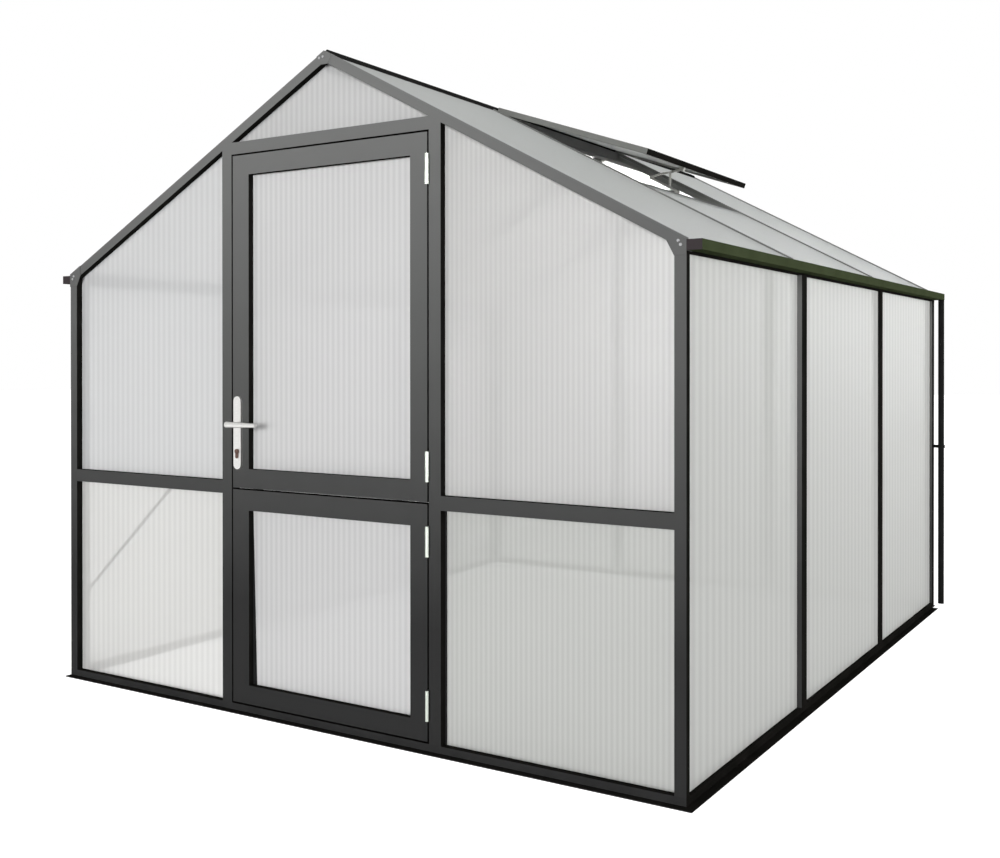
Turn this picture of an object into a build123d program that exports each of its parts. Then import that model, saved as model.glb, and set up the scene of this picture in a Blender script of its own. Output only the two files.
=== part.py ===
from build123d import *
from math import atan, atan2, cos, degrees, radians, sin, tan
import os

# A glazed garden greenhouse with a pitched roof, a two-leaf stable door in the front gable
# and one open roof vent.
# Millimetres. +Z is up, the door gable faces -Y, and the origin is at the middle of the
# box on the ground.

os.makedirs("parts", exist_ok=True)

# Overall sizes, measured over the faces of the posts
WIDTH = 2570
LENGTH = 3115
END_BAY = 1022
EAVE = 1560
RIDGE = 2250

# Base sill: a rail level with the posts, with a thin lip at its foot that reaches past them
SILL_TOP = 26
SILL_LIP_REACH = 27
SILL_LIP_TOP = 3

# Posts and rails of the walls
MEMBER_DEPTH = 40
CORNER_FACE = 36
FRONT_CORNER_FLANK = 23
REAR_CORNER_FLANK = 45
CORNER_LEG = 14
CORNER_LEG_REACH = 60
SIDE_POST_FACES = (56, 32)
SIDE_POST_PROUD = (5, 0)
SIDE_POST_LEG = 20
DOOR_POST_FACE = 45
DOOR_OPENING = 846
HEADER_BOTTOM = 1945
HEADER_TOP = 1987
MID_RAIL_BOTTOM = 758
MID_RAIL_TOP = 804

# Glazing
PANE = 10
FRONT_RECESS = 25
SIDE_RECESS = 12
REAR_RECESS = 25
DOOR_RECESS = 23

# Roof
RAFTER_HEIGHT = 32
RAFTER_LIP = 14
ROOF_RECESS = 5
BAR_CAP = 14
BAR_FLANGE = 46
BAR_HEIGHT = 34
EAVE_BEAM_BOTTOM = 1518
EAVE_OVERHANG = 14
RIDGE_BEAM_FACE = 40
RIDGE_BEAM_DROP = 44
RIDGE_CAP_REACH = 20
RIDGE_CAP_RISE = 7
APEX_GAP = 1
PLATE_THICK = 3

# Gutter and downpipe
GUTTER_REACH = 46
GUTTER_HEIGHT = 30
GUTTER_WALL = 3
GUTTER_DROP = 5
GUTTER_END_PAST = 16
PIPE_RADIUS = 14
PIPE_FROM_REAR = 8
PIPE_FOOT = 22
BRACKET_HEIGHT = 800

# Roof vent in the middle bay of the right slope
VENT_RAISE = 9.1
VENT_LENGTH = 698
VENT_BAR = 34
VENT_THICK = 22
VENT_LIFT = 7
VENT_START = 24
VENT_CLEAR = 10
VENT_PANE_DROP = 4
TRIMMER_END = 60
CURB_AT = 717
CURB_BAR = 30
OPENER_FROM_BAR = 398
OPENER_TUBE_RADIUS = 5
OPENER_TUBE = (592, 736)
OPENER_LIFT = 4
OPENER_ARM = 6
OPENER_ARM_WIDTH = 8
OPENER_PLATE = 16

# Door leaves
LEAF_GAP = 6
FREE_STILE = 75
HINGE_STILE = 66
UPPER_PANE_LEVEL = (848, 1870)
LOWER_PANE_LEVEL = (97, 704)
LEAF_DEPTH = 38
LEAF_SPLIT = 778

# Hinges, on the right door post
HINGE_RADIUS = 6.5
HINGE_PIN_RADIUS = 3.5
HINGE_PIN_PLAY = 0.05
HINGE_HEIGHT = 95
HINGE_FORWARD = 8
HINGE_ASIDE = 2
HINGE_PLATE = 2
HINGE_PLATE_REACH = 30
KNUCKLE_GAP = 0.5
HINGE_LEVELS_UPPER = (893, 1822)
HINGE_LEVELS_LOWER = (147, 659)

# Handle and lock on the free side of the upper leaf
HANDLE_X = -390
HANDLE_PLATE_WIDTH = 34
HANDLE_PLATE_BOTTOM = 846
HANDLE_PLATE_TOP = 1100
HANDLE_PLATE_THICK = 8
LEVER_LEVEL = 1003
LEVER_RADIUS = 10.5
LEVER_TIP_RADIUS = 7.5
LEVER_NECK_RADIUS = 8
LEVER_REACH = 52
LEVER_LENGTH = 138
LEVER_PLAY = 0.1
SPINDLE_RADIUS = 4
LOCK_TOP = 917
LOCK_FOOT = 884
LOCK_RADIUS = 8.5
LOCK_WEB = 10
LOCK_PROUD = 4

# Brace behind the front left lower pane
BRACE_WIDTH = 12
BRACE_THICK = 3
BRACE_FOOT = (-1249, 314)
BRACE_HEAD = (-764, MID_RAIL_BOTTOM)

# Worked out from the sizes above
HALF = WIDTH / 2
ROOF_TAN = (RIDGE - EAVE) / HALF
PITCH = atan2(RIDGE - EAVE, HALF)
SLOPE = HALF / cos(PITCH)
FRONT = -(LENGTH + SILL_LIP_REACH - HANDLE_PLATE_THICK - LEVER_REACH) / 2
REAR = FRONT + LENGTH
BAY_LINES = (FRONT + END_BAY, REAR - END_BAY)
DOOR_POST_INNER = DOOR_OPENING / 2
DOOR_POST_OUTER = DOOR_POST_INNER + DOOR_POST_FACE
RAFTER_DROP = RAFTER_HEIGHT / cos(PITCH)
PANE_TOP = ROOF_RECESS
PANE_FOOT = ROOF_RECESS + PANE


def roof_z(x, depth=0):
    """Height of the roof line at x, and depth below it measured square to the slope."""
    return RIDGE - abs(x) * ROOF_TAN - depth / cos(PITCH)


def roof_point(side, down, depth):
    """Point on a slope: side is 1 right or -1 left, down from the ridge, depth below it."""
    x = down * cos(PITCH) - depth * sin(PITCH)
    z = RIDGE - down * sin(PITCH) - depth * cos(PITCH)
    return (side * x, z)


def block(x, y, z, mode=Mode.ADD):
    """Box between two limits on each axis."""
    centre = ((x[0] + x[1]) / 2, (y[0] + y[1]) / 2, (z[0] + z[1]) / 2)
    with Locations(centre):
        Box(abs(x[1] - x[0]), abs(y[1] - y[0]), abs(z[1] - z[0]), mode=mode)


def wall_plate(points, y0, y1):
    """Outline in X and Z, from y0 back to y1."""
    with BuildSketch(Plane.XZ.offset(-y0)) as outline:
        with BuildLine():
            Polyline(*points, close=True)
        make_face()
    extrude(outline.sketch, amount=y0 - y1)


def roof_plate(side, down, depth, y):
    """Flat piece in a slope: limits down the slope, below it and along the ridge."""
    corners = [
        roof_point(side, down[0], depth[0]),
        roof_point(side, down[1], depth[0]),
        roof_point(side, down[1], depth[1]),
        roof_point(side, down[0], depth[1]),
    ]
    wall_plate(corners, y[0], y[1])


def upright_cylinder(x, y, radius, z):
    """Cylinder along Z between two levels."""
    with BuildSketch(Plane.XY.offset(z[0])) as ring:
        with Locations((x, y)):
            Circle(radius)
    extrude(ring.sketch, amount=z[1] - z[0])


def cross_cylinder(x, z, radius, y):
    """Cylinder along Y from y[0] back to y[1]."""
    with BuildSketch(Plane.XZ.offset(-y[0])) as ring:
        with Locations((x, z)):
            Circle(radius)
    extrude(ring.sketch, amount=y[0] - y[1])


def save(piece, name):
    """Label a finished piece and write it."""
    piece.part.label = name
    export_step(piece.part, f"parts/{name}.step")


# Base frame. The front and rear sills run the whole width, the side sills between them.
# The lip of a gable sill ends flush with one corner post and passes the other.
SILL_OUT = HALF + SILL_LIP_REACH


def gable_sill(face, way):
    """Sill of one gable, with its lip."""
    inner = face + way * MEMBER_DEPTH
    lip = sorted((-way * HALF, way * SILL_OUT))
    block((-HALF, HALF), sorted((face, inner)), (0, SILL_TOP))
    block(lip, sorted((face - way * SILL_LIP_REACH, inner)), (0, SILL_LIP_TOP))


with BuildPart() as front_sill:
    gable_sill(FRONT, 1)
save(front_sill, "front_sill")

with BuildPart() as rear_sill:
    gable_sill(REAR, -1)
save(rear_sill, "rear_sill")

SIDE_SILL_ENDS = (FRONT + MEMBER_DEPTH, REAR - MEMBER_DEPTH)
SIDE_PANE_OUT = HALF - SIDE_RECESS
SIDE_PANE_IN = SIDE_PANE_OUT - PANE

with BuildPart() as side_sills:
    for side in (-1, 1):
        inner = side * (HALF - CORNER_FACE)
        block((inner, side * HALF), SIDE_SILL_ENDS, (0, SILL_TOP))
        block((inner, side * SILL_OUT), SIDE_SILL_ENDS, (0, SILL_LIP_TOP))
save(side_sills, "side_sills")


# Corner posts: a face in the gable wall, and behind the side glazing a thin leg
def corner_post(side, face, way, flank):
    """One corner post, cut to the slope of its rafter."""
    inner = side * (HALF - CORNER_FACE)
    outer = side * HALF
    leg = inner + side * CORNER_LEG
    shape = [
        (inner, SILL_TOP),
        (outer, SILL_TOP),
        (outer, roof_z(outer, RAFTER_HEIGHT)),
        (inner, roof_z(inner, RAFTER_HEIGHT)),
    ]
    rafter_back = sorted((face, face + way * min(flank, MEMBER_DEPTH)))
    wall_plate(shape, rafter_back[0], rafter_back[1])
    beam_front = face + way * MEMBER_DEPTH
    if flank > MEMBER_DEPTH:
        under_beam = (SILL_TOP, EAVE_BEAM_BOTTOM)
        block((inner, outer), sorted((beam_front, face + way * flank)), under_beam)
    else:
        leg_ends = sorted((face + way * flank, face + way * CORNER_LEG_REACH))
        block((inner, leg), leg_ends, (SILL_TOP, EAVE_BEAM_BOTTOM))


with BuildPart() as corner_posts:
    for side in (-1, 1):
        corner_post(side, FRONT, 1, FRONT_CORNER_FLANK)
        corner_post(side, REAR, -1, REAR_CORNER_FLANK)
save(corner_posts, "corner_posts")

# Side posts: a cap outside the glazing and a leg inside it. The front post of each side
# joins two lengths of wall, and its cap is wider and stands further out.
with BuildPart() as side_posts:
    for side in (-1, 1):
        for line, width, proud in zip(BAY_LINES, SIDE_POST_FACES, SIDE_POST_PROUD):
            face = (line - width / 2, line + width / 2)
            web = (line - SIDE_POST_LEG / 2, line + SIDE_POST_LEG / 2)
            level = (SILL_TOP, EAVE_BEAM_BOTTOM)
            block((side * SIDE_PANE_OUT, side * (HALF + proud)), face, level)
            block((side * (HALF - CORNER_FACE), side * SIDE_PANE_OUT), web, level)
save(side_posts, "side_posts")


# Posts of the two gable walls, cut to the rafters
def gable_posts(face, way):
    """A pair of posts between the sill and the rafters of one gable."""
    ends = sorted((face, face + way * MEMBER_DEPTH))
    for side in (-1, 1):
        inner = side * DOOR_POST_INNER
        outer = side * DOOR_POST_OUTER
        shape = [
            (inner, SILL_TOP),
            (outer, SILL_TOP),
            (outer, roof_z(outer, RAFTER_HEIGHT)),
            (inner, roof_z(inner, RAFTER_HEIGHT)),
        ]
        wall_plate(shape, ends[0], ends[1])


with BuildPart() as door_posts:
    gable_posts(FRONT, 1)
save(door_posts, "door_posts")

with BuildPart() as rear_posts:
    gable_posts(REAR, -1)
save(rear_posts, "rear_posts")

# Headers between those posts. The rafters cut off their upper corners.
HEADER_TOP_HALF = (RIDGE - RAFTER_DROP - HEADER_TOP) / ROOF_TAN
HEADER_SHAPE = [
    (-DOOR_POST_INNER, HEADER_BOTTOM),
    (DOOR_POST_INNER, HEADER_BOTTOM),
    (DOOR_POST_INNER, roof_z(DOOR_POST_INNER, RAFTER_HEIGHT)),
    (HEADER_TOP_HALF, HEADER_TOP),
    (-HEADER_TOP_HALF, HEADER_TOP),
    (-DOOR_POST_INNER, roof_z(DOOR_POST_INNER, RAFTER_HEIGHT)),
]

with BuildPart() as door_header:
    wall_plate(HEADER_SHAPE, FRONT, FRONT + MEMBER_DEPTH)
save(door_header, "door_header")

with BuildPart() as rear_header:
    wall_plate(HEADER_SHAPE, REAR - MEMBER_DEPTH, REAR)
save(rear_header, "rear_header")

with BuildPart() as front_mid_rails:
    for side in (-1, 1):
        block(
            (side * DOOR_POST_OUTER, side * (HALF - CORNER_FACE)),
            (FRONT, FRONT + MEMBER_DEPTH),
            (MID_RAIL_BOTTOM, MID_RAIL_TOP),
        )
save(front_mid_rails, "front_mid_rails")


# Rafters: a deep face with a lip that hides the edge of the roof glazing.
# The two of a gable stop just short of each other at the ridge.
def rafters(face, way):
    """Both rafters of one gable."""
    for side in (-1, 1):
        near = side * APEX_GAP / 2
        far = side * HALF
        lip = [
            (near, roof_z(near)),
            (far, roof_z(far)),
            (far, roof_z(far, PANE_FOOT)),
            (near, roof_z(near, PANE_FOOT)),
        ]
        body = [
            (near, roof_z(near, PANE_FOOT)),
            (far, roof_z(far, PANE_FOOT)),
            (far, roof_z(far, RAFTER_HEIGHT)),
            (near, roof_z(near, RAFTER_HEIGHT)),
        ]
        lip_ends = sorted((face, face + way * RAFTER_LIP))
        body_ends = sorted((face, face + way * MEMBER_DEPTH))
        wall_plate(lip, lip_ends[0], lip_ends[1])
        wall_plate(body, body_ends[0], body_ends[1])


with BuildPart() as front_rafters:
    rafters(FRONT, 1)
save(front_rafters, "front_rafters")

with BuildPart() as rear_rafters:
    rafters(REAR, -1)
save(rear_rafters, "rear_rafters")

# Eave beams carry the lower edge of the roof glazing
EAVE_BEAM_ENDS = (FRONT + MEMBER_DEPTH, REAR - MEMBER_DEPTH)

with BuildPart() as eave_beams:
    for side in (-1, 1):
        inner = side * (HALF - CORNER_FACE)
        outer = side * HALF
        shape = [
            (inner, EAVE_BEAM_BOTTOM),
            (outer, EAVE_BEAM_BOTTOM),
            (outer, roof_z(outer, PANE_FOOT)),
            (inner, roof_z(inner, PANE_FOOT)),
        ]
        wall_plate(shape, EAVE_BEAM_ENDS[0], EAVE_BEAM_ENDS[1])
        under_rafter = [
            (inner, EAVE_BEAM_BOTTOM),
            (outer, EAVE_BEAM_BOTTOM),
            (outer, roof_z(outer, RAFTER_HEIGHT)),
            (inner, roof_z(inner, RAFTER_HEIGHT)),
        ]
        wall_plate(under_rafter, FRONT + FRONT_CORNER_FLANK, EAVE_BEAM_ENDS[0])
save(eave_beams, "eave_beams")

# Gutters: an open channel outside each eave beam, closed at both ends
GUTTER_TOP = EAVE - GUTTER_DROP
GUTTER_FOOT = GUTTER_TOP - GUTTER_HEIGHT
GUTTER_BACK_TOP = roof_z(HALF, PANE_FOOT) - 2
GUTTER_ENDS = (FRONT, REAR + GUTTER_END_PAST)


def gutter(side):
    """Channel with a low back against the eave beam."""
    back = side * HALF
    lip = side * (HALF + GUTTER_REACH)
    inside = (side * (HALF + GUTTER_WALL), side * (HALF + GUTTER_REACH - GUTTER_WALL))
    block((back, lip), GUTTER_ENDS, (GUTTER_FOOT, GUTTER_FOOT + GUTTER_WALL))
    block((inside[1], lip), GUTTER_ENDS, (GUTTER_FOOT, GUTTER_TOP))
    block((back, inside[0]), GUTTER_ENDS, (GUTTER_FOOT, GUTTER_BACK_TOP))
    for end, way in ((GUTTER_ENDS[0], 1), (GUTTER_ENDS[1], -1)):
        block((back, lip), sorted((end, end + way * GUTTER_WALL)), (GUTTER_FOOT, GUTTER_TOP))


for side, name in ((-1, "gutter_left"), (1, "gutter_right")):
    with BuildPart() as one_gutter:
        gutter(side)
    save(one_gutter, name)

# Roof bars between the rafters: a flange under the glazing and a cap level with the rafters
RIDGE_BEAM_HALF = RIDGE_BEAM_FACE / 2

with BuildPart() as roof_bars:
    for side in (-1, 1):
        inner = side * RIDGE_BEAM_HALF
        outer = side * (HALF - CORNER_FACE)
        flange = [
            (inner, roof_z(inner, PANE_FOOT)),
            (outer, roof_z(outer, PANE_FOOT)),
            (outer, roof_z(outer, BAR_HEIGHT)),
            (inner, roof_z(inner, BAR_HEIGHT)),
        ]
        under = side * RIDGE_CAP_REACH
        cap = [
            (under, roof_z(under)),
            (outer, roof_z(outer)),
            (outer, roof_z(outer, PANE_FOOT)),
            (under, roof_z(under, PANE_FOOT)),
        ]
        for line in BAY_LINES:
            wall_plate(flange, line - BAR_FLANGE / 2, line + BAR_FLANGE / 2)
            wall_plate(cap, line - BAR_CAP / 2, line + BAR_CAP / 2)
save(roof_bars, "roof_bars")

# Ridge beam under the glazing, with a saddle where the roof bars meet, and a solid cap
# that stands above it
with BuildPart() as ridge_beam:
    shape = [
        (-RIDGE_BEAM_HALF, roof_z(RIDGE_BEAM_HALF, PANE_FOOT)),
        (0, roof_z(0, PANE_FOOT)),
        (RIDGE_BEAM_HALF, roof_z(RIDGE_BEAM_HALF, PANE_FOOT)),
        (RIDGE_BEAM_HALF, roof_z(0, PANE_FOOT) - RIDGE_BEAM_DROP),
        (-RIDGE_BEAM_HALF, roof_z(0, PANE_FOOT) - RIDGE_BEAM_DROP),
    ]
    wall_plate(shape, EAVE_BEAM_ENDS[0], EAVE_BEAM_ENDS[1])
    saddle = [
        (-RIDGE_BEAM_HALF, roof_z(RIDGE_BEAM_HALF, PANE_FOOT)),
        (-RIDGE_BEAM_HALF, roof_z(RIDGE_BEAM_HALF, PANE_TOP)),
        (0, roof_z(0, PANE_TOP)),
        (RIDGE_BEAM_HALF, roof_z(RIDGE_BEAM_HALF, PANE_TOP)),
        (RIDGE_BEAM_HALF, roof_z(RIDGE_BEAM_HALF, PANE_FOOT)),
        (0, roof_z(0, PANE_FOOT)),
    ]
    for line in BAY_LINES:
        wall_plate(saddle, line - BAR_CAP / 2, line + BAR_CAP / 2)
save(ridge_beam, "ridge_beam")

with BuildPart() as ridge_cap:
    reach = RIDGE_CAP_REACH
    shape = [
        (-reach, roof_z(reach) + RIDGE_CAP_RISE),
        (0, RIDGE + RIDGE_CAP_RISE),
        (reach, roof_z(reach) + RIDGE_CAP_RISE),
        (reach, roof_z(reach, PANE_TOP)),
        (0, roof_z(0, PANE_TOP)),
        (-reach, roof_z(reach, PANE_TOP)),
    ]
    wall_plate(shape, FRONT + RAFTER_LIP, REAR - RAFTER_LIP)
save(ridge_cap, "ridge_cap")

# Joint plates on the gable faces, where the rafters meet the corner posts and each other
EAVE_PLATE_ALONG = 59
EAVE_PLATE_DOWN = 48
APEX_PLATE_ALONG = 36


def joint_plates(face, way):
    """Two eave plates and one ridge plate, standing out of a gable face."""
    ends = sorted((face, face - way * PLATE_THICK))
    for side in (-1, 1):
        outer = side * HALF
        inner = side * (HALF - CORNER_FACE)
        along = side * (HALF - EAVE_PLATE_ALONG)
        shape = [
            (outer, EAVE),
            (along, roof_z(along)),
            (along, roof_z(along, RAFTER_HEIGHT)),
            (inner, EAVE - EAVE_PLATE_DOWN),
            (outer, EAVE - EAVE_PLATE_DOWN),
        ]
        wall_plate(shape, ends[0], ends[1])
    shape = [
        roof_point(-1, APEX_PLATE_ALONG, 0),
        (0, RIDGE),
        roof_point(1, APEX_PLATE_ALONG, 0),
        roof_point(1, APEX_PLATE_ALONG, RAFTER_HEIGHT),
        roof_point(-1, APEX_PLATE_ALONG, RAFTER_HEIGHT),
    ]
    wall_plate(shape, ends[0], ends[1])


with BuildPart() as front_joint_plates:
    joint_plates(FRONT, 1)
save(front_joint_plates, "front_joint_plates")

with BuildPart() as rear_joint_plates:
    joint_plates(REAR, -1)
save(rear_joint_plates, "rear_joint_plates")


# Gable glazing, between the members of each end wall
def gable_pane(points, face, way, recess):
    """Sheet in a gable wall, set back from its face."""
    ends = sorted((face + way * recess, face + way * (recess + PANE)))
    wall_plate(points, ends[0], ends[1])


def side_bay(side, bottom, top):
    """Outline of the bay beside a door post; top None follows the rafter."""
    near = side * DOOR_POST_OUTER
    far = side * (HALF - CORNER_FACE)
    near_top = top if top else roof_z(near, RAFTER_HEIGHT)
    far_top = top if top else roof_z(far, RAFTER_HEIGHT)
    return [(near, bottom), (far, bottom), (far, far_top), (near, near_top)]


# The glazing over each header is a triangle under the rafters
GABLE_TRIANGLE = [
    (-HEADER_TOP_HALF, HEADER_TOP),
    (HEADER_TOP_HALF, HEADER_TOP),
    (0, roof_z(0, RAFTER_HEIGHT)),
]


with BuildPart() as front_lower_panes:
    for side in (-1, 1):
        gable_pane(side_bay(side, SILL_TOP, MID_RAIL_BOTTOM), FRONT, 1, FRONT_RECESS)
save(front_lower_panes, "front_lower_panes")

with BuildPart() as front_upper_panes:
    for side in (-1, 1):
        gable_pane(side_bay(side, MID_RAIL_TOP, None), FRONT, 1, FRONT_RECESS)
save(front_upper_panes, "front_upper_panes")

with BuildPart() as front_gable_pane:
    gable_pane(GABLE_TRIANGLE, FRONT, 1, FRONT_RECESS)
save(front_gable_pane, "front_gable_pane")

with BuildPart() as rear_panes:
    for side in (-1, 1):
        gable_pane(side_bay(side, SILL_TOP, None), REAR, -1, REAR_RECESS)
    reach = DOOR_POST_INNER
    middle = [
        (-reach, SILL_TOP),
        (reach, SILL_TOP),
        (reach, HEADER_BOTTOM),
        (-reach, HEADER_BOTTOM),
    ]
    gable_pane(middle, REAR, -1, REAR_RECESS)
    gable_pane(GABLE_TRIANGLE, REAR, -1, REAR_RECESS)
save(rear_panes, "rear_panes")

# Side glazing: three sheets a side, from the sill to the eave beam
SIDE_PANE_ENDS = (
    (FRONT + FRONT_CORNER_FLANK, BAY_LINES[0] - SIDE_POST_LEG / 2),
    (BAY_LINES[0] + SIDE_POST_LEG / 2, BAY_LINES[1] - SIDE_POST_LEG / 2),
    (BAY_LINES[1] + SIDE_POST_LEG / 2, REAR - REAR_CORNER_FLANK),
)

for side, name in ((-1, "side_panes_left"), (1, "side_panes_right")):
    with BuildPart() as side_panes:
        for low, high in SIDE_PANE_ENDS:
            sheet = (side * SIDE_PANE_IN, side * SIDE_PANE_OUT)
            block(sheet, (low, high), (SILL_TOP, EAVE_BEAM_BOTTOM))
    save(side_panes, name)

# Roof glazing: one sheet a bay, from under the ridge cap to over the gutter
BAR_CAP_HALF = BAR_CAP / 2
ROOF_PANE_TOP = PANE_FOOT * ROOF_TAN
ROOF_PANE_FOOT = SLOPE + EAVE_OVERHANG
ROOF_PANE_ENDS = (
    (FRONT + RAFTER_LIP, BAY_LINES[0] - BAR_CAP_HALF),
    (BAY_LINES[0] + BAR_CAP_HALF, BAY_LINES[1] - BAR_CAP_HALF),
    (BAY_LINES[1] + BAR_CAP_HALF, REAR - RAFTER_LIP),
)

with BuildPart() as roof_panes_left:
    for ends in ROOF_PANE_ENDS:
        roof_plate(-1, (ROOF_PANE_TOP, ROOF_PANE_FOOT), (PANE_TOP, PANE_FOOT), ends)
save(roof_panes_left, "roof_panes_left")

# On the right slope the middle bay is open from the ridge down to the curb of the vent
VENT_BAY = ROOF_PANE_ENDS[1]
with BuildPart() as roof_panes_right:
    roof_plate(1, (ROOF_PANE_TOP, ROOF_PANE_FOOT), (PANE_TOP, PANE_FOOT), ROOF_PANE_ENDS[0])
    roof_plate(1, (CURB_AT + CURB_BAR, ROOF_PANE_FOOT), (PANE_TOP, PANE_FOOT), VENT_BAY)
    roof_plate(1, (ROOF_PANE_TOP, ROOF_PANE_FOOT), (PANE_TOP, PANE_FOOT), ROOF_PANE_ENDS[2])
save(roof_panes_right, "roof_panes_right")

# Open vent: a glazed frame hinged below the ridge cap, which drops less steeply than the roof
VENT_PITCH = PITCH - radians(VENT_RAISE)
VENT_FOOT_Z = roof_z(VENT_START, PANE_FOOT) + VENT_LIFT
VENT_ENDS = (VENT_BAY[0] + VENT_CLEAR, VENT_BAY[1] - VENT_CLEAR)

# The opening has a trimmer against the ridge beam, cut to the angle of the vent that rests
# on it, and a curb across the slope
UNDER_ENDS = (BAY_LINES[0] + BAR_FLANGE / 2, BAY_LINES[1] - BAR_FLANGE / 2)
with BuildPart() as vent_curb:
    roof_plate(1, (CURB_AT, CURB_AT + CURB_BAR), (PANE_TOP, PANE_FOOT), VENT_BAY)
    roof_plate(1, (CURB_AT, CURB_AT + CURB_BAR), (PANE_FOOT, BAR_HEIGHT), UNDER_ENDS)
    trimmer = [
        (RIDGE_BEAM_HALF, roof_z(RIDGE_BEAM_HALF, PANE_FOOT)),
        (VENT_START, roof_z(VENT_START, PANE_FOOT)),
        (VENT_START, VENT_FOOT_Z),
        (TRIMMER_END, VENT_FOOT_Z - (TRIMMER_END - VENT_START) * tan(VENT_PITCH)),
        (TRIMMER_END, roof_z(TRIMMER_END, BAR_HEIGHT)),
        (RIDGE_BEAM_HALF, roof_z(RIDGE_BEAM_HALF, BAR_HEIGHT)),
    ]
    wall_plate(trimmer, UNDER_ENDS[0], UNDER_ENDS[1])
save(vent_curb, "vent_curb")


def vent_point(down, up):
    """Point in the vent, down its slope from the ridge side and up from its underside."""
    x = VENT_START + down * cos(VENT_PITCH) + up * sin(VENT_PITCH)
    z = VENT_FOOT_Z - down * sin(VENT_PITCH) + up * cos(VENT_PITCH)
    return (x, z)


def vent_plate(down, up, y):
    """Flat piece in the plane of the vent."""
    corners = [
        vent_point(down[0], up[0]),
        vent_point(down[1], up[0]),
        vent_point(down[1], up[1]),
        vent_point(down[0], up[1]),
    ]
    wall_plate(corners, y[0], y[1])


VENT_LOW = VENT_LENGTH - VENT_BAR
VENT_SIDES = ((VENT_ENDS[0], VENT_ENDS[0] + VENT_BAR), (VENT_ENDS[1] - VENT_BAR, VENT_ENDS[1]))
VENT_INNER = (VENT_ENDS[0] + VENT_BAR, VENT_ENDS[1] - VENT_BAR)

with BuildPart() as vent_frame:
    for ends in VENT_SIDES:
        vent_plate((0, VENT_LENGTH), (0, VENT_THICK), ends)
    vent_plate((0, VENT_BAR), (0, VENT_THICK), VENT_INNER)
    vent_plate((VENT_LOW, VENT_LENGTH), (0, VENT_THICK), VENT_INNER)
save(vent_frame, "vent_frame")

VENT_PANE_UP = (VENT_THICK - PANE - VENT_PANE_DROP, VENT_THICK - VENT_PANE_DROP)
with BuildPart() as vent_pane:
    vent_plate((VENT_BAR, VENT_LOW), VENT_PANE_UP, VENT_INNER)
save(vent_pane, "vent_pane")

# Opener: a tube on the curb that runs up over the opening, a bent arm from its upper end to
# the low rail of the vent, and a link between them
OPENER_Y = BAY_LINES[0] + OPENER_FROM_BAR
OPENER_BEND = (565, 1984)
OPENER_KNEE = (613, 1987)
OPENER_TIP = vent_point(VENT_LENGTH - OPENER_PLATE, -OPENER_ARM_WIDTH)
OPENER_LINK_FOOT = (610, roof_z(610) + OPENER_LIFT)


def strut(start, end):
    """Flat bar between two points of the opener."""
    way = Vector(end[0] - start[0], end[1] - start[1]).normalized()
    off_x = -way.Y * OPENER_ARM_WIDTH / 2
    off_z = way.X * OPENER_ARM_WIDTH / 2
    corners = [
        (start[0] + off_x, start[1] + off_z),
        (end[0] + off_x, end[1] + off_z),
        (end[0] - off_x, end[1] - off_z),
        (start[0] - off_x, start[1] - off_z),
    ]
    wall_plate(corners, OPENER_Y - OPENER_ARM / 2, OPENER_Y + OPENER_ARM / 2)


with BuildPart() as vent_opener:
    low_end = roof_point(1, OPENER_TUBE[1], -OPENER_LIFT)
    high_end = roof_point(1, OPENER_TUBE[0], -OPENER_LIFT)
    up_slope = (high_end[0] - low_end[0], 0, high_end[1] - low_end[1])
    with BuildSketch(Plane((low_end[0], OPENER_Y, low_end[1]), z_dir=up_slope)) as tube:
        Circle(OPENER_TUBE_RADIUS)
    extrude(tube.sketch, amount=OPENER_TUBE[1] - OPENER_TUBE[0])
    plate_ends = (OPENER_Y - OPENER_PLATE / 2, OPENER_Y + OPENER_PLATE / 2)
    roof_plate(1, (CURB_AT + 4, OPENER_TUBE[1]), (-OPENER_LIFT, PANE_TOP), plate_ends)
    vent_plate((VENT_LENGTH - 26, VENT_LENGTH - 8), (-OPENER_PLATE, 0), plate_ends)
    strut(high_end, OPENER_BEND)
    strut(OPENER_BEND, OPENER_KNEE)
    strut(OPENER_KNEE, OPENER_TIP)
    strut(OPENER_KNEE, OPENER_LINK_FOOT)
save(vent_opener, "vent_opener")

# Downpipes behind the rear corners, each hung from its gutter and held by one bracket
PIPE_X = HALF + GUTTER_REACH / 2 + 12
PIPE_Y = REAR - PIPE_FROM_REAR
BRACKET_FACE = HALF
BRACKET_RING = PIPE_RADIUS + 4
BRACKET_TALL = 14

with BuildPart() as downpipes:
    for side in (-1, 1):
        upright_cylinder(side * PIPE_X, PIPE_Y, PIPE_RADIUS, (PIPE_FOOT, GUTTER_FOOT))
save(downpipes, "downpipes")

with BuildPart() as pipe_brackets:
    for side in (-1, 1):
        level = (BRACKET_HEIGHT - BRACKET_TALL / 2, BRACKET_HEIGHT + BRACKET_TALL / 2)
        upright_cylinder(side * PIPE_X, PIPE_Y, BRACKET_RING, level)
        block((side * BRACKET_FACE, side * PIPE_X), (PIPE_Y - 6, PIPE_Y + 6), level)
        with BuildSketch(Plane.XY.offset(level[0])) as bore:
            with Locations((side * PIPE_X, PIPE_Y)):
                Circle(PIPE_RADIUS)
        extrude(bore.sketch, amount=BRACKET_TALL, mode=Mode.SUBTRACT)
save(pipe_brackets, "pipe_brackets")

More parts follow.
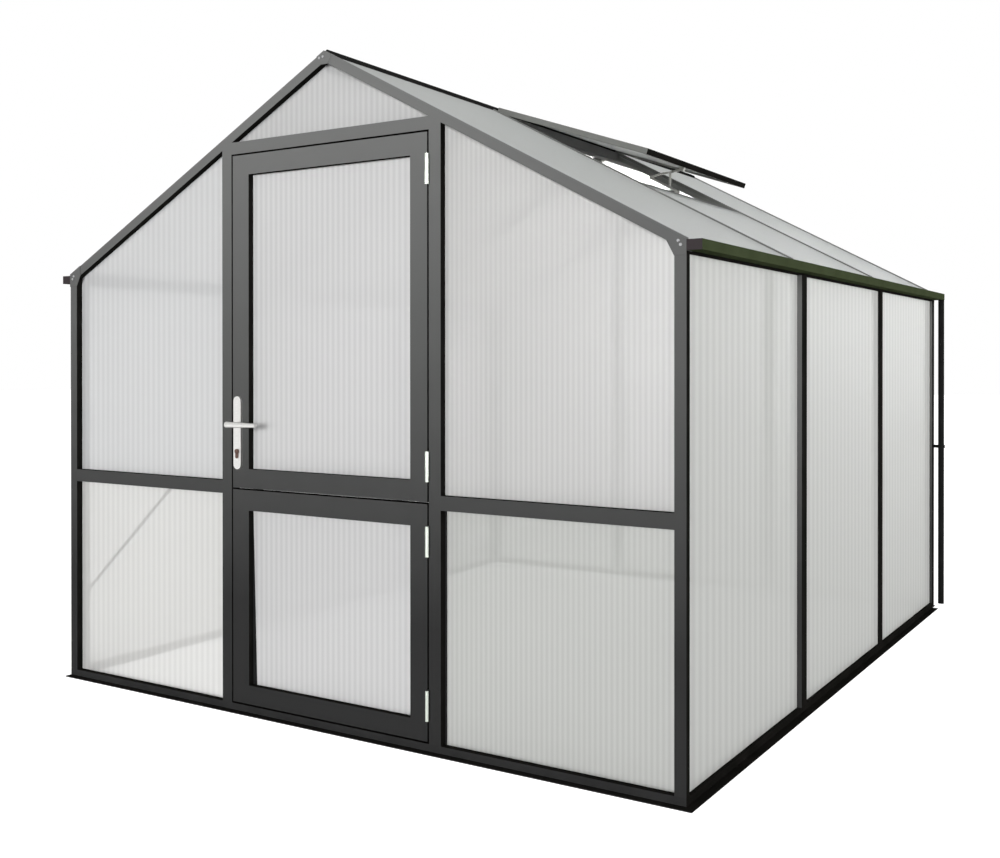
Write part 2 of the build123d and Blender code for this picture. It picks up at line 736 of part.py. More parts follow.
# Flat brace behind the front left lower pane, from the corner post up to the mid rail
BRACE_Y = FRONT + FRONT_RECESS + PANE
brace_way = Vector(BRACE_HEAD[0] - BRACE_FOOT[0], BRACE_HEAD[1] - BRACE_FOOT[1]).normalized()
brace_rise = BRACE_WIDTH / (2 * brace_way.X)
brace_run = BRACE_WIDTH / (2 * brace_way.Y)
with BuildPart() as corner_brace:
    shape = [
        (BRACE_FOOT[0], BRACE_FOOT[1] - brace_rise),
        (BRACE_HEAD[0] + brace_run, BRACE_HEAD[1]),
        (BRACE_HEAD[0] - brace_run, BRACE_HEAD[1]),
        (BRACE_FOOT[0], BRACE_FOOT[1] + brace_rise),
    ]
    wall_plate(shape, BRACE_Y, BRACE_Y + BRACE_THICK)
save(corner_brace, "corner_brace")

# Door leaves. Each is a frame of stiles and rails with a pane set back in it.
LEAF_OUT = DOOR_POST_INNER - LEAF_GAP
PANE_LEFT = -LEAF_OUT + FREE_STILE
PANE_RIGHT = LEAF_OUT - HINGE_STILE
LEAF_ENDS = (FRONT, FRONT + LEAF_DEPTH)
UPPER_LEAF = (LEAF_SPLIT + LEAF_GAP / 2, HEADER_BOTTOM - LEAF_GAP)
LOWER_LEAF = (SILL_TOP + LEAF_GAP, LEAF_SPLIT - LEAF_GAP / 2)


def leaf_stiles(level):
    """Both upright bars of a leaf."""
    block((-LEAF_OUT, PANE_LEFT), LEAF_ENDS, level)
    block((PANE_RIGHT, LEAF_OUT), LEAF_ENDS, level)


def leaf_rails(level, glazed):
    """Top and bottom bars of a leaf, between its stiles."""
    block((PANE_LEFT, PANE_RIGHT), LEAF_ENDS, (level[0], glazed[0]))
    block((PANE_LEFT, PANE_RIGHT), LEAF_ENDS, (glazed[1], level[1]))


def leaf_pane(glazed):
    """Glazing of a leaf, set back from its face."""
    recess = (FRONT + DOOR_RECESS, FRONT + DOOR_RECESS + PANE)
    block((PANE_LEFT, PANE_RIGHT), recess, glazed)


LEAVES = (
    (UPPER_LEAF, UPPER_PANE_LEVEL, "upper_leaf"),
    (LOWER_LEAF, LOWER_PANE_LEVEL, "lower_leaf"),
)
for level, glazed, name in LEAVES:
    with BuildPart() as stiles:
        leaf_stiles(level)
        if name == "upper_leaf":
            with BuildSketch(Plane.XZ.offset(-FRONT)) as spindle_hole:
                with Locations((HANDLE_X, LEVER_LEVEL)):
                    Circle(SPINDLE_RADIUS + LEVER_PLAY)
            extrude(spindle_hole.sketch, amount=-LEAF_DEPTH, mode=Mode.SUBTRACT)
    save(stiles, f"{name}_stiles")
    with BuildPart() as rails:
        leaf_rails(level, glazed)
    save(rails, f"{name}_rails")
    with BuildPart() as pane:
        leaf_pane(glazed)
    save(pane, f"{name}_pane")

# Lift-off hinges. The lower knuckle and its pin are fixed to the post, the upper knuckle
# to the leaf, and each has a flat plate that reaches back into the gap.
HINGE_X = (LEAF_OUT + DOOR_POST_INNER) / 2 + HINGE_ASIDE
HINGE_Y = FRONT - HINGE_FORWARD
PLATE_FRONT = HINGE_Y + HINGE_RADIUS / 2
PLATE_ENDS = (PLATE_FRONT, FRONT + HINGE_PLATE_REACH)


def post_knuckle(level):
    """Lower knuckle with a pin standing up out of it, and its plate on the post."""
    low = level - HINGE_HEIGHT / 2
    split = level - KNUCKLE_GAP / 2
    upright_cylinder(HINGE_X, HINGE_Y, HINGE_RADIUS, (low, split))
    upright_cylinder(HINGE_X, HINGE_Y, HINGE_PIN_RADIUS, (split, split + HINGE_HEIGHT * 0.35))
    block((DOOR_POST_INNER - HINGE_PLATE, DOOR_POST_INNER), PLATE_ENDS, (low, split))


def leaf_knuckle(level):
    """Upper knuckle bored for the pin, and its plate on the edge of the leaf."""
    split = level + KNUCKLE_GAP / 2
    high = level + HINGE_HEIGHT / 2
    upright_cylinder(HINGE_X, HINGE_Y, HINGE_RADIUS, (split, high))
    block((LEAF_OUT, LEAF_OUT + HINGE_PLATE), PLATE_ENDS, (split, high))
    with BuildSketch(Plane.XY.offset(split)) as bore:
        with Locations((HINGE_X, HINGE_Y)):
            Circle(HINGE_PIN_RADIUS + HINGE_PIN_PLAY)
    extrude(bore.sketch, amount=HINGE_HEIGHT * 0.4, mode=Mode.SUBTRACT)


with BuildPart() as post_hinges:
    for level in HINGE_LEVELS_LOWER + HINGE_LEVELS_UPPER:
        post_knuckle(level)
save(post_hinges, "post_hinges")

LEAF_HINGES = (
    (HINGE_LEVELS_UPPER, "upper_leaf_hinges"),
    (HINGE_LEVELS_LOWER, "lower_leaf_hinges"),
)
for levels, name in LEAF_HINGES:
    with BuildPart() as leaf_hinges:
        for level in levels:
            leaf_knuckle(level)
    save(leaf_hinges, name)


# Handle: a long plate on each face of the upper leaf, with holes for the lever and the lock
def lock_profile(mode):
    """Outline of the lock cylinder: a round with a narrower web under it."""
    centre = LOCK_TOP - LOCK_RADIUS
    web_foot = LOCK_FOOT + LOCK_WEB / 2
    with Locations((HANDLE_X, centre)):
        Circle(LOCK_RADIUS, mode=mode)
    with Locations((HANDLE_X, (centre + web_foot) / 2)):
        Rectangle(LOCK_WEB, centre - web_foot, mode=mode)
    with Locations((HANDLE_X, web_foot)):
        Circle(LOCK_WEB / 2, mode=mode)


OUTSIDE = (FRONT - HANDLE_PLATE_THICK, FRONT)
INSIDE = (FRONT + LEAF_DEPTH, FRONT + LEAF_DEPTH + HANDLE_PLATE_THICK)

with BuildPart() as handle_plates:
    for ends in (OUTSIDE, INSIDE):
        middle = (HANDLE_PLATE_BOTTOM + HANDLE_PLATE_TOP) / 2
        with BuildSketch(Plane.XZ.offset(-ends[0])) as plate:
            with Locations((HANDLE_X, middle)):
                SlotOverall(
                    HANDLE_PLATE_TOP - HANDLE_PLATE_BOTTOM,
                    HANDLE_PLATE_WIDTH,
                    rotation=90,
                )
            with Locations((HANDLE_X, LEVER_LEVEL)):
                Circle(LEVER_NECK_RADIUS + LEVER_PLAY, mode=Mode.SUBTRACT)
            lock_profile(Mode.SUBTRACT)
        extrude(plate.sketch, amount=ends[0] - ends[1])
save(handle_plates, "handle_plates")

# Lock cylinder ends, set in both plates and standing a little proud of them
with BuildPart() as lock_cylinder:
    for ends in ((OUTSIDE[0] - LOCK_PROUD, FRONT), (INSIDE[0], INSIDE[1] + LOCK_PROUD)):
        with BuildSketch(Plane.XZ.offset(-ends[0])) as lock:
            lock_profile(Mode.ADD)
        extrude(lock.sketch, amount=ends[0] - ends[1])
save(lock_cylinder, "lock_cylinder")

# Lever handle: a tapered grip outside and one inside, each on a neck, joined by a round
# spindle. The free stile of the upper leaf is drilled for it.
LEVER_OUT = OUTSIDE[0] - LEVER_REACH
LEVER_IN = INSIDE[1] + LEVER_REACH
LEVER_TAPER = degrees(atan((LEVER_RADIUS - LEVER_TIP_RADIUS) / LEVER_LENGTH))

with BuildPart() as door_lever:
    for face, end, way in ((FRONT, LEVER_OUT, -1), (FRONT + LEAF_DEPTH, LEVER_IN, 1)):
        grip_y = end - way * LEVER_RADIUS
        cross_cylinder(HANDLE_X, LEVER_LEVEL, LEVER_NECK_RADIUS, sorted((face, grip_y)))
        with BuildSketch(Plane.YZ.offset(HANDLE_X - LEVER_RADIUS)) as grip:
            with Locations((grip_y, LEVER_LEVEL)):
                Circle(LEVER_RADIUS)
        extrude(grip.sketch, amount=LEVER_LENGTH, taper=LEVER_TAPER)
    cross_cylinder(HANDLE_X, LEVER_LEVEL, SPINDLE_RADIUS, (FRONT, FRONT + LEAF_DEPTH))
save(door_lever, "door_lever")
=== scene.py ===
import math

import bpy
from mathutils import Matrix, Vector


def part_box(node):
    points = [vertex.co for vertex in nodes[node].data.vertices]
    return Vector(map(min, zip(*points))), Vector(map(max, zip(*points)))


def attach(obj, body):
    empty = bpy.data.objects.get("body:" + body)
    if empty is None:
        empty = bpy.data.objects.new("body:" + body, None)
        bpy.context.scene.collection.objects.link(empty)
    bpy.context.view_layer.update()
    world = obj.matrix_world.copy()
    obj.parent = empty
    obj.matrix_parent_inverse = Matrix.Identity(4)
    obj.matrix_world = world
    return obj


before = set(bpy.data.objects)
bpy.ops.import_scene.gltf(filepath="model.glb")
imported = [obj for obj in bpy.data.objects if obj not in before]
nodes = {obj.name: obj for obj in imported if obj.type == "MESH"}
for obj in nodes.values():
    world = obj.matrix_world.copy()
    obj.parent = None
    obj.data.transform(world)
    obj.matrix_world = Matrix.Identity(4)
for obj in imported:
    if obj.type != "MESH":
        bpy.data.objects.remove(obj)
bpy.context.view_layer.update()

# Levels and lines of the part that the looks need, in metres
RIDGE = 2.25
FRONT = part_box("front_rafters")[0][1]
PLATE_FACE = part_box("front_joint_plates")[0][1]
REAR_PLATE_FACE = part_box("rear_joint_plates")[1][1]

# Bolt heads on the joint plates: places across the gable and heights; the eave ones are mirrored
EAVE_BOLTS = ((1.262, 1.552), (1.269, 1.541))
RIDGE_BOLTS = ((-0.019, 2.227), (-0.003, 2.2295))
BOLT_RADIUS = 0.0042
BOLT_HEIGHT = 0.0022

# Black strips of painted shade over the left edge of two lower panes
STRIP_THICK = 0.0015
STRIP_WIDTH = 0.007
WEDGE_WIDTH = 0.017

# Powder coat: noise scale and detail of its tone and of its grain, its roughness, and the
# strength and depth of its relief
COAT_TONE = (9, 5)
COAT_GRAIN = (900, 2)
COAT_ROUGH = (0.5, 0.62)
COAT_RELIEF = (0.12, 0.0004)

# Anthracite coat with painted light and shade, darker near the ground and lighter towards the
# ridge:
# tones, where they start and end as a share of the ridge height, and how far the grain shifts
# them
COAT_SHADED_LOW = (0.040, 0.040, 0.040)
COAT_LIT_HIGH = (0.192, 0.194, 0.190)
COAT_LIGHT_SPAN = (0.20, 0.94)
COAT_SHIFT = 0.12

# Bare metal: noise scale and detail of its strokes
METAL_STROKES = (60, 4)

# Glazing: index of refraction, noise of its gloss and how far that goes either way, strength
# and depth of the webs' relief, and roughness and opacity of the outer and the inner skin
SHEET_IOR = 1.25
SHEET_GLOSS = (3, 2)
GLOSS_RANGE = 0.04
WEB_RELIEF = (0.2, 0.0008)
OUTER_ROUGH = 0.75
OUTER_ALPHA = 0.9
INNER_ROUGH = 0.6
INNER_ALPHA = 0.2
BACK_CLEAR = 0.6
ROOF_CLEAR = 0.2
LIT_ROOF_CLEAR = 0.85

# Pitches of the sheets' webs
LEFT_WEB = 0.0280
DOOR_WEB = 0.0230
RIGHT_WEB = 0.0178
SIDE_WEB = 0.0500
ROOF_WEB = 0.0200

# Axis and pitch of the webs, darker and lighter tone, clear share and opacity of each sheet;
# the tones differ from sheet to sheet as painted light and shade on one glazing
WALL_TONES = {
    "left": ("X", LEFT_WEB, (0.680, 0.683, 0.687), (0.760, 0.763, 0.768), 0.15, 0.87),
    "left_low": ("X", LEFT_WEB, (0.780, 0.775, 0.755), (0.865, 0.860, 0.840), 0.15, 0.83),
    "door": ("X", DOOR_WEB, (0.630, 0.628, 0.628), (0.717, 0.714, 0.714), 0.08, 0.96),
    "gable": ("X", DOOR_WEB, (0.555, 0.555, 0.555), (0.637, 0.637, 0.637), 0.15, 0.90),
    "right": ("X", RIGHT_WEB, (0.562, 0.559, 0.551), (0.637, 0.634, 0.625), 0.08, 0.95),
    "right_low": ("X", RIGHT_WEB, (0.503, 0.510, 0.488), (0.575, 0.582, 0.560), 0.12, 0.92),
    "side": ("Y", SIDE_WEB, (0.487, 0.492, 0.475), (0.555, 0.560, 0.541), 0.08, 0.97),
}
# Tones of the rear and left sheets, the right roof slope and the left roof slope, each a lighter
# or darker copy of one glazing as painted light and shade
BACK_DARK = (0.80, 0.805, 0.79)
BACK_LIGHT = (0.88, 0.885, 0.87)
ROOF_DARK = (0.410, 0.422, 0.412)
ROOF_LIGHT = (0.440, 0.452, 0.442)
LIT_ROOF_DARK = (0.54, 0.54, 0.515)
LIT_ROOF_LIGHT = (0.60, 0.60, 0.575)

# Studio: half the floor's width, its depth, its grey, its glow and the share of the glow that
# rays through a sheet see; then the tint and level of the world's light
FLOOR_HALF = 40
FLOOR_DEPTH = 0.02
FLOOR_GREY = (0.45, 0.45, 0.45, 1)
FLOOR_GLOW = 0.95
FLOOR_THROUGH = 0.5
AMBIENT_TINT = (0.95, 0.97, 1.0, 1)
AMBIENT_LEVEL = 0.14
WHITE = (1, 1, 1, 1)

# Camera, solved from the photograph: place beside, ahead and above the front's middle, and turn
CAMERA_SIDE = 2.553
CAMERA_AHEAD = 2.993
CAMERA_HEIGHT = 1.221
CAMERA_TURN = (90 - 0.20, 0.02, 32.18)
CAMERA_LENS = 42.32
CAMERA_SHIFT = (0.0043, -0.0634)
CAMERA_REACH = 200


def math_node(tree, operation, *values):
    """Math node fed by numbers and sockets."""
    made = tree.nodes.new("ShaderNodeMath")
    made.operation = operation
    for socket, value in zip(made.inputs, values):
        if isinstance(value, (int, float)):
            socket.default_value = value
        else:
            tree.links.new(value, socket)
    return made.outputs[0]


class Shader:
    """Node tree of one material, built around its Principled shader."""

    def __init__(self, name):
        self.material = bpy.data.materials.new(name)
        self.material.use_nodes = True
        self.tree = self.material.node_tree
        self.shader = self.tree.nodes["Principled BSDF"]
        coords = self.tree.nodes.new("ShaderNodeTexCoord")
        self.place = coords.outputs["Object"]

    def link(self, source, target):
        self.tree.links.new(source, target)

    def put(self, **values):
        """Set the shader's own sockets."""
        for key, value in values.items():
            self.shader.inputs[key.replace("_", " ")].default_value = value

    def noise(self, scale, detail, stretch=(1, 1, 1)):
        mapping = self.tree.nodes.new("ShaderNodeMapping")
        mapping.inputs["Scale"].default_value = stretch
        self.link(self.place, mapping.inputs["Vector"])
        made = self.tree.nodes.new("ShaderNodeTexNoise")
        made.inputs["Scale"].default_value = scale
        made.inputs["Detail"].default_value = detail
        self.link(mapping.outputs["Vector"], made.inputs["Vector"])
        return made.outputs["Fac"]

    def ramp(self, value, low, high, start=0.3, end=0.7):
        """Colour that goes from low to high as a value goes from start to end."""
        made = self.tree.nodes.new("ShaderNodeValToRGB")
        made.color_ramp.elements[0].position = start
        made.color_ramp.elements[0].color = (*low, 1)
        made.color_ramp.elements[1].position = end
        made.color_ramp.elements[1].color = (*high, 1)
        self.link(value, made.inputs["Fac"])
        return made.outputs["Color"]

    def math(self, operation, *values):
        return math_node(self.tree, operation, *values)

    def axis(self, name):
        """One coordinate of the object, X, Y or Z."""
        made = self.tree.nodes.new("ShaderNodeSeparateXYZ")
        self.link(self.place, made.inputs[0])
        return made.outputs[name]

    def bump(self, height, strength, distance):
        made = self.tree.nodes.new("ShaderNodeBump")
        made.inputs["Strength"].default_value = strength
        made.inputs["Distance"].default_value = distance
        self.link(height, made.inputs["Height"])
        self.link(made.outputs["Normal"], self.shader.inputs["Normal"])

    def colour(self, socket):
        self.link(socket, self.shader.inputs["Base Color"])

    def rough(self, value, low, high):
        made = self.tree.nodes.new("ShaderNodeMapRange")
        made.inputs["To Min"].default_value = low
        made.inputs["To Max"].default_value = high
        self.link(value, made.inputs["Value"])
        self.link(made.outputs["Result"], self.shader.inputs["Roughness"])


def coat_surface(made, rough, specular):
    """Fine grain of a powder coat in gloss and relief."""
    grain = made.noise(*COAT_GRAIN)
    made.rough(grain, *rough)
    made.bump(grain, *COAT_RELIEF)
    made.put(Specular_IOR_Level=specular)


def painted(name, low, high, rough=COAT_ROUGH, specular=0.0):
    """Powder coat between two tones."""
    made = Shader(name)
    made.colour(made.ramp(made.noise(*COAT_TONE), low, high))
    coat_surface(made, rough, specular)
    return made.material


def coat_with_painted_light(name, lift):
    """Powder coat with painted light and shade, growing lighter with height; lift is the height
    of the object's origin.
    """
    made = Shader(name)
    height = made.math("ADD", made.axis("Z"), lift)
    shift = made.math("MULTIPLY", made.noise(*COAT_TONE), COAT_SHIFT)
    level = made.math("MULTIPLY", made.math("ADD", height, shift), 1 / RIDGE)
    made.colour(made.ramp(level, COAT_SHADED_LOW, COAT_LIT_HIGH, *COAT_LIGHT_SPAN))
    coat_surface(made, COAT_ROUGH, 0.0)
    return made.material


def metal(name, low, high, stretch, rough=(0.22, 0.36)):
    """Bare metal brushed along one direction."""
    made = Shader(name)
    strokes = made.noise(*METAL_STROKES, stretch)
    made.colour(made.ramp(strokes, low, high))
    made.rough(strokes, *rough)
    made.put(Metallic=1.0)
    return made.material


def glazing(name, axis, pitch, dark, light, clear, rough=OUTER_ROUGH, alpha=OUTER_ALPHA):
    """One skin of a twin-wall sheet: webs at an even pitch across the given axis."""
    made = Shader(name)
    turn = made.math("MULTIPLY", made.axis(axis), 2 * math.pi / pitch)
    web = made.math("MULTIPLY_ADD", made.math("SINE", turn), 0.5, 0.5)
    made.colour(made.ramp(web, dark, light, 0.0, 1.0))
    made.rough(made.noise(*SHEET_GLOSS), rough - GLOSS_RANGE, rough + GLOSS_RANGE)
    made.bump(web, *WEB_RELIEF)
    made.put(Transmission_Weight=clear, IOR=SHEET_IOR, Alpha=alpha)
    return made.material


def inner_skin(name, axis, pitch, dark, light):
    """Inner skin and edges of a sheet, clearer than its outer skin."""
    return glazing(name, axis, pitch, dark, light, 0.0, INNER_ROUGH, INNER_ALPHA)


# Lighter coat of painted light for the roof bars
ROOF_BAR_LIT_COAT = painted("roof_bar_painted_light", (0.145, 0.150, 0.142), (0.175, 0.180, 0.170))
# Lighter coat of painted light for the vent frame
VENT_LIT_COAT = painted("vent_painted_light", (0.175, 0.178, 0.168), (0.205, 0.208, 0.196))
# Darker coat of painted shade for the sills
SHADED_SILL_COAT = painted("painted_shade_sill", (0.034, 0.034, 0.034), (0.044, 0.044, 0.044))
# Near-black coat of painted shade for the members' faces that look sideways, up or down
SHADE_COAT = painted("painted_shade_coat", (0.008, 0.008, 0.007), (0.013, 0.012, 0.011))
BLACK_COAT = painted("black_coat", (0.010, 0.010, 0.010), (0.016, 0.016, 0.015))
GUTTER_COAT = painted("gutter_coat", (0.044, 0.056, 0.028), (0.054, 0.067, 0.034))
GUTTER_END = painted("gutter_end", (0.054, 0.046, 0.048), (0.062, 0.052, 0.055))
# Black of the painted shade strips over two pane edges
REVEAL_SHADE = painted("painted_reveal_shade", (0.006, 0.006, 0.006), (0.012, 0.012, 0.012), (0.65, 0.8), 0.2)
PIPE = painted("pipe_plastic", (0.008, 0.008, 0.008), (0.014, 0.014, 0.014), (0.35, 0.45))
HANDLE = metal("satin_steel", (0.56, 0.555, 0.54), (0.68, 0.675, 0.66), (1, 1, 12), (0.30, 0.42))
HINGE = metal("hinge_steel", (0.42, 0.46, 0.41), (0.54, 0.58, 0.52), (12, 12, 1))
OPENER = metal("opener_alloy", (0.30, 0.30, 0.28), (0.42, 0.42, 0.39), (1, 12, 1))
BOLT = metal("bolt_steel", (0.38, 0.38, 0.39), (0.50, 0.50, 0.51), (1, 1, 1))
BRASS = metal("lock_brass", (0.075, 0.045, 0.038), (0.14, 0.09, 0.075), (1, 1, 6))

SHEETS = {}
SKINS = {}
for name, (axis, pitch, dark, light, clear, alpha) in WALL_TONES.items():
    SHEETS[name] = glazing(f"sheet_{name}", axis, pitch, dark, light, clear, alpha=alpha)
    SKINS[name] = inner_skin(f"skin_{name}", axis, pitch, dark, light)
REAR_SHEET = glazing("sheet_rear", "X", DOOR_WEB, BACK_DARK, BACK_LIGHT, BACK_CLEAR)
BACK_SHEET = glazing("sheet_side_left", "Y", SIDE_WEB, BACK_DARK, BACK_LIGHT, BACK_CLEAR)
ROOF_SHEET = glazing("sheet_roof", "Y", ROOF_WEB, ROOF_DARK, ROOF_LIGHT, ROOF_CLEAR)
LIT_ROOF_SHEET = glazing("sheet_roof_left", "Y", ROOF_WEB, LIT_ROOF_DARK, LIT_ROOF_LIGHT, LIT_ROOF_CLEAR)
LIT_ROOF_SKIN = inner_skin("skin_roof_left", "Y", ROOF_WEB, LIT_ROOF_DARK, LIT_ROOF_LIGHT)


def dress(material, *names):
    """Give nodes one material."""
    for name in names:
        slots = nodes[name].data.materials
        slots.clear()
        slots.append(material)


def dress_faces(material, test, *names):
    """Give the faces that pass a test a further material."""
    for name in names:
        mesh = nodes[name].data
        mesh.materials.append(material)
        index = len(mesh.materials) - 1
        for face in mesh.polygons:
            if test(face):
                face.material_index = index


def beside(face):
    """Faces of a member that look along the gables or up and down, not out of a gable."""
    return abs(face.normal.y) < 0.5


def beneath(face):
    """Faces on the underside of a rafter."""
    return beside(face) and face.normal.z < 0


def left_outer(face):
    """Outer skin of a front sheet left of the door."""
    return face.center.x < 0 and face.normal.y < -0.5


def vent_lip(face):
    """Outer face of the vent's low rail."""
    return face.normal.x > 0.3 and face.normal.z < 0.7


def all_but(axis, way):
    """Test for a sheet's faces apart from the skin that looks one way along an axis."""
    place = "XYZ".index(axis)
    return lambda face: face.normal[place] * way < 0.5


# Frame, fittings and trim
# Each frame part first gets the anthracite coat with painted light and shade by height
COATS = {}
for name in nodes:
    lift = round(nodes[name].matrix_world.translation.z, 4)
    if lift not in COATS:
        COATS[lift] = coat_with_painted_light(f"anthracite_painted_light_{len(COATS)}", lift)
    dress(COATS[lift], name)
dress(GUTTER_COAT, "gutter_left", "gutter_right")
dress(BLACK_COAT, "ridge_cap")
# The sills get the darker coat of painted shade
dress(SHADED_SILL_COAT, "front_sill", "rear_sill", "side_sills")
dress(PIPE, "downpipes", "pipe_brackets")
dress(HANDLE, "handle_plates", "door_lever")
dress(BRASS, "lock_cylinder")
dress(HINGE, "post_hinges", "upper_leaf_hinges", "lower_leaf_hinges")
dress(OPENER, "vent_opener")
# The roof bars get the lighter coat of painted light from above
dress(ROOF_BAR_LIT_COAT, "roof_bars")
# The vent frame gets the lighter coat of painted light
dress(VENT_LIT_COAT, "vent_frame")
# Member faces that look sideways, up or down get the near-black painted shade
dress_faces(
    SHADE_COAT,
    beside,
    "corner_posts",
    "door_posts",
    "rear_posts",
    "side_posts",
    "door_header",
    "rear_header",
    "front_mid_rails",
    "eave_beams",
    "upper_leaf_stiles",
    "upper_leaf_rails",
    "lower_leaf_stiles",
    "lower_leaf_rails",
    "front_sill",
    "side_sills",
    "rear_sill",
)
# Every face of the side posts in the rear half gets the painted shade
dress_faces(SHADE_COAT, lambda face: face.center.y > 0, "side_posts")
# Painted shade on the undersides of the rafters and on the outer face of the vent's low rail
dress_faces(SHADE_COAT, beneath, "front_rafters", "rear_rafters")
dress_faces(SHADE_COAT, vent_lip, "vent_frame")
dress_faces(GUTTER_END, lambda face: not beside(face), "gutter_left", "gutter_right")

# Glazing: the outer skins, then the inner skins and edges
dress(SHEETS["door"], "upper_leaf_pane", "lower_leaf_pane")
dress(SHEETS["gable"], "front_gable_pane")
dress(SHEETS["side"], "side_panes_right")
dress(REAR_SHEET, "rear_panes")
dress(BACK_SHEET, "side_panes_left")
dress(ROOF_SHEET, "roof_panes_right", "vent_pane")
dress(LIT_ROOF_SHEET, "roof_panes_left")
for name, left, right in (
    ("front_upper_panes", "left", "right"),
    ("front_lower_panes", "left_low", "right_low"),
):
    dress(SHEETS[right], name)
    dress_faces(SHEETS[left], left_outer, name)
    dress_faces(SKINS[right], all_but("Y", -1), name)
dress_faces(SKINS["door"], all_but("Y", -1), "upper_leaf_pane", "lower_leaf_pane")
dress_faces(SKINS["gable"], all_but("Y", -1), "front_gable_pane")
dress_faces(SKINS["door"], all_but("Y", 1), "rear_panes")
dress_faces(SKINS["side"], all_but("X", 1), "side_panes_right")
dress_faces(SKINS["side"], all_but("X", -1), "side_panes_left")
dress_faces(LIT_ROOF_SKIN, all_but("Z", 1), "roof_panes_left")


class Solid:
    """Vertices and faces gathered into one mesh."""

    def __init__(self):
        self.points = []
        self.faces = []

    def prism(self, outline, along):
        """Closed outline of points pushed along a vector."""
        start = len(self.points)
        count = len(outline)
        self.points += [Vector(p) for p in outline]
        self.points += [Vector(p) + Vector(along) for p in outline]
        near = list(range(start, start + count))
        far = list(range(start + count, start + 2 * count))
        self.faces += [near[::-1], far]
        for i in range(count):
            j = (i + 1) % count
            self.faces.append([near[i], near[j], far[j], far[i]])

    def box(self, low, high):
        outline = [(low[0], low[1], low[2]), (high[0], low[1], low[2])]
        outline += [(high[0], high[1], low[2]), (low[0], high[1], low[2])]
        self.prism(outline, (0, 0, high[2] - low[2]))

    def disc(self, centre, radius, along, sides=20):
        """Round of a given radius pushed along a vector."""
        way = Vector(along).normalized()
        across = way.orthogonal().normalized()
        up = way.cross(across)
        outline = []
        for i in range(sides):
            turn = 2 * math.pi * i / sides
            spoke = across * math.cos(turn) * radius + up * math.sin(turn) * radius
            outline.append(Vector(centre) + spoke)
        self.prism(outline, along)

    def mesh(self, name):
        made = bpy.data.meshes.new(name)
        made.from_pydata([tuple(p) for p in self.points], [], self.faces)
        made.validate()
        made.update()
        return made


def piece(name, solid, material, body):
    """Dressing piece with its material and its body."""
    made = bpy.data.objects.new(name, solid.mesh(name))
    bpy.context.scene.collection.objects.link(made)
    made.data.materials.append(material)
    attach(made, body)


def gable_bolts(name, face, way):
    """Bolt heads on the eave and ridge plates of one gable; way points inwards along Y."""
    heads = Solid()
    places = [(side * x, z) for x, z in EAVE_BOLTS for side in (-1, 1)]
    for x, z in (*places, *RIDGE_BOLTS):
        heads.disc((x, face, z), BOLT_RADIUS, (0, -way * BOLT_HEIGHT, 0))
    piece(name, heads, BOLT, "frame")


def leaf_strip():
    """Black wedge of painted shade over the left edge of the lower leaf's pane, widest at its
    foot.
    """
    low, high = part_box("lower_leaf_pane")
    y = low[1] - STRIP_THICK
    outline = [(low[0], y, low[2]), (low[0] + WEDGE_WIDTH, y, low[2]), (low[0], y, high[2])]
    wedge = Solid()
    wedge.prism(outline, (0, STRIP_THICK, 0))
    piece("lower_leaf_strip", wedge, REVEAL_SHADE, "lower_leaf")


def pane_strip():
    """Black strip of painted shade over the left edge of the lower pane right of the door."""
    low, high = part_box("front_lower_panes")
    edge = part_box("door_posts")[1][0]
    bar = Solid()
    bar.box((edge, low[1] - STRIP_THICK, low[2]), (edge + STRIP_WIDTH, low[1], high[2]))
    piece("lower_pane_strip", bar, REVEAL_SHADE, "frame")


gable_bolts("front_plate_bolts", PLATE_FACE, 1)
gable_bolts("rear_plate_bolts", REAR_PLATE_FACE, -1)
leaf_strip()
pane_strip()


def seen_white(tree, through=1.0):
    """1 for camera and glossy rays, a given share for transmission rays and 0 for others."""
    path = tree.nodes.new("ShaderNodeLightPath").outputs
    seen = math_node(tree, "MAXIMUM", path["Is Camera Ray"], path["Is Glossy Ray"])
    glass = math_node(tree, "MULTIPLY", path["Is Transmission Ray"], through)
    return math_node(tree, "MAXIMUM", seen, glass)


def background(tree, colour, strength):
    made = tree.nodes.new("ShaderNodeBackground")
    made.inputs["Color"].default_value = colour
    made.inputs["Strength"].default_value = strength
    return made.outputs[0]


def studio_world():
    """World that lights the object faintly and is seen as white."""
    world = bpy.data.worlds.new("studio")
    bpy.context.scene.world = world
    world.use_nodes = True
    tree = world.node_tree
    tree.nodes.clear()
    mix = tree.nodes.new("ShaderNodeMixShader")
    tree.links.new(seen_white(tree), mix.inputs[0])
    tree.links.new(background(tree, AMBIENT_TINT, AMBIENT_LEVEL), mix.inputs[1])
    tree.links.new(background(tree, WHITE, 1.0), mix.inputs[2])
    out = tree.nodes.new("ShaderNodeOutputWorld")
    tree.links.new(mix.outputs[0], out.inputs["Surface"])


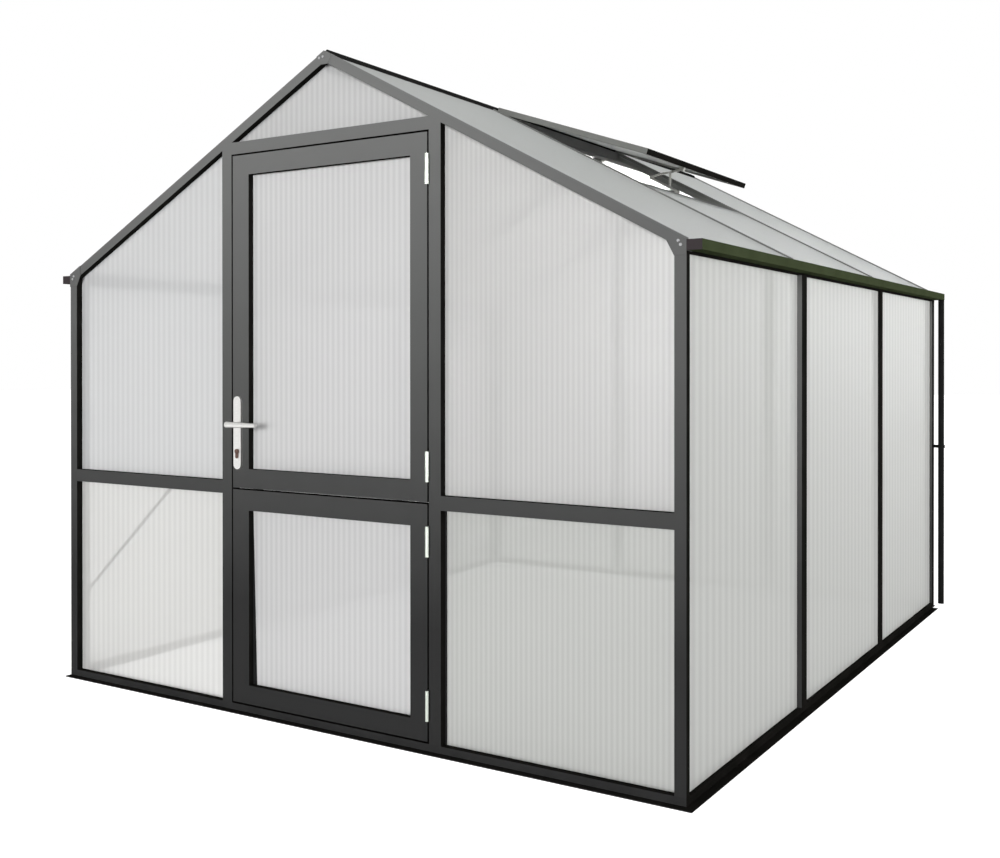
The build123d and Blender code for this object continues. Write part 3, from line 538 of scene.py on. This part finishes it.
def studio_floor():
    """Pale floor that keeps the object's shadow; its glow is only for rays that see it."""
    material = bpy.data.materials.new("studio_floor")
    material.use_nodes = True
    tree = material.node_tree
    tree.nodes.clear()
    plain = tree.nodes.new("ShaderNodeBsdfDiffuse")
    plain.inputs["Color"].default_value = FLOOR_GREY
    glow = tree.nodes.new("ShaderNodeEmission")
    glow.inputs["Color"].default_value = WHITE
    share = math_node(tree, "MULTIPLY", seen_white(tree, FLOOR_THROUGH), FLOOR_GLOW)
    tree.links.new(share, glow.inputs["Strength"])
    both = tree.nodes.new("ShaderNodeAddShader")
    tree.links.new(plain.outputs[0], both.inputs[0])
    tree.links.new(glow.outputs[0], both.inputs[1])
    out = tree.nodes.new("ShaderNodeOutputMaterial")
    tree.links.new(both.outputs[0], out.inputs["Surface"])
    slab = Solid()
    slab.box((-FLOOR_HALF, -FLOOR_HALF, -FLOOR_DEPTH), (FLOOR_HALF, FLOOR_HALF, 0))
    floor = bpy.data.objects.new("studio_floor", slab.mesh("studio_floor"))
    bpy.context.scene.collection.objects.link(floor)
    floor.data.materials.append(material)


def sun(name, way, level, spread=14):
    """Even soft light along a direction; at level 1 a face square to it shows its own colour."""
    data = bpy.data.lights.new(name, "SUN")
    data.energy = level * math.pi
    data.angle = math.radians(spread)
    made = bpy.data.objects.new(name, data)
    bpy.context.scene.collection.objects.link(made)
    made.matrix_world = Vector(way).to_track_quat("-Z", "Y").to_matrix().to_4x4()


def studio_camera():
    """Camera at the photograph's viewing angle."""
    data = bpy.data.cameras.new("camera")
    data.sensor_width = 36
    data.lens = CAMERA_LENS
    data.shift_x, data.shift_y = CAMERA_SHIFT
    data.clip_end = CAMERA_REACH
    camera = bpy.data.objects.new("camera", data)
    bpy.context.scene.collection.objects.link(camera)
    camera.location = (CAMERA_SIDE, FRONT - CAMERA_AHEAD, CAMERA_HEIGHT)
    camera.rotation_euler = [math.radians(turn) for turn in CAMERA_TURN]
    bpy.context.scene.camera = camera


studio_world()
studio_floor()
sun("front_light", (-0.21, 1, -0.06), level=0.88, spread=24)
sun("rear_light", (0.21, -1, -0.06), level=0.88, spread=24)
sun("right_light", (-1, 0, -0.04), level=0.72)
sun("left_light", (1, 0, -0.04), level=0.72)
sun("sky_light", (0, 0, -1), level=0.60)
studio_camera()
bpy.context.scene.view_settings.view_transform = "Standard"
